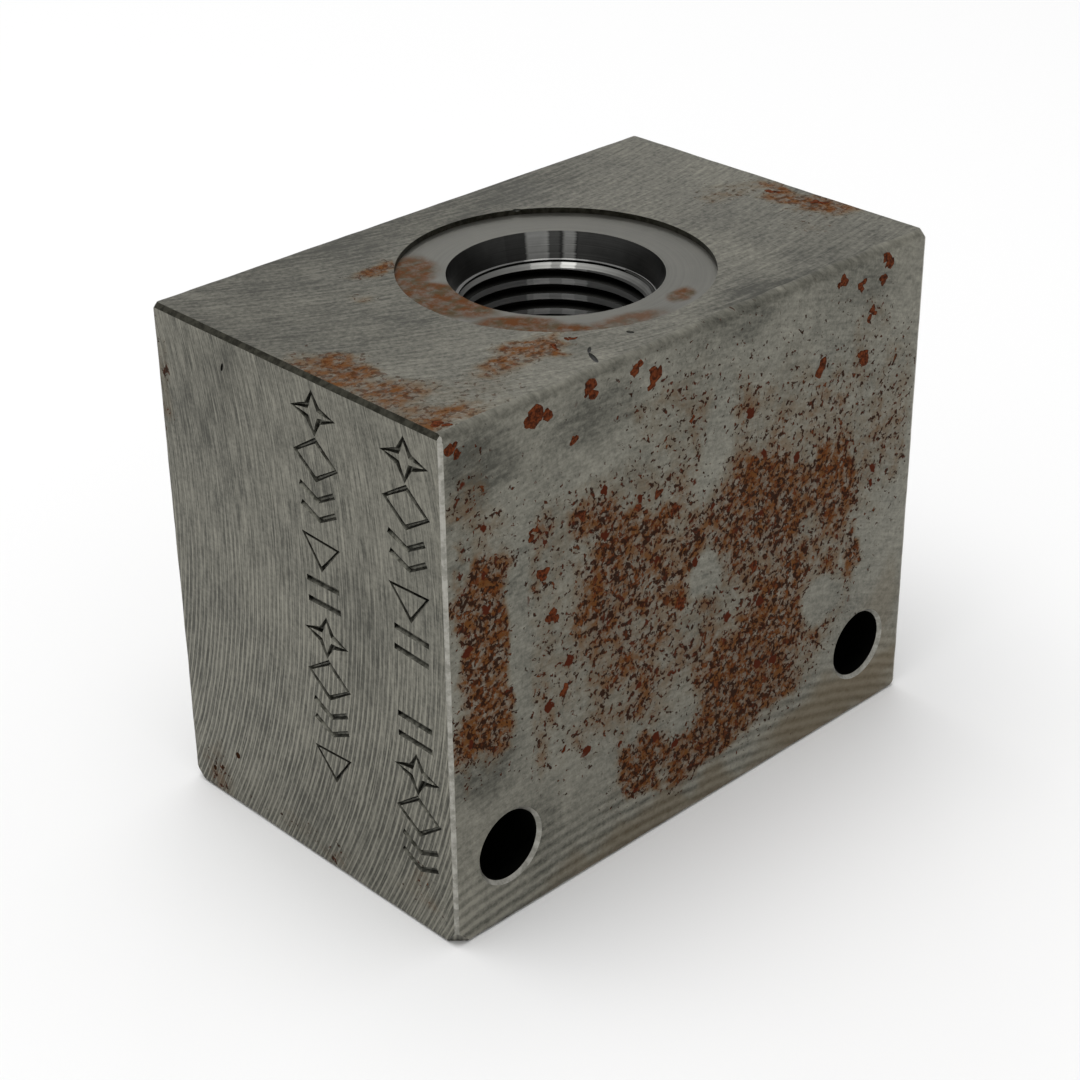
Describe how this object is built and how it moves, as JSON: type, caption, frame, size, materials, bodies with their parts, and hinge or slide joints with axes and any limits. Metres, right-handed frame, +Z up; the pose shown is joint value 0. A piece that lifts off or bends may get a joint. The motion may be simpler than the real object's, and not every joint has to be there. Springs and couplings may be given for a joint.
{
  "type": "cartridge valve body",
  "caption": "Bare machined steel body for a screw-in hydraulic cartridge valve, with a threaded cavity on top, straight-thread ports and cross-drilled mounting holes.",
  "frame": {"origin": "middle of the bottom face", "axes": "+X along the long side towards the end with port 2, +Y towards the back mounting face, +Z up, out of the cartridge cavity"},
  "size_m": [0.0636, 0.0394, 0.0521],
  "materials": {
    "valve_body": "milled bare steel with tool marks and patches of surface rust"
  },
  "bodies": {
    "root": {"valve_body": "valve_body"}
  },
  "joints": []
}
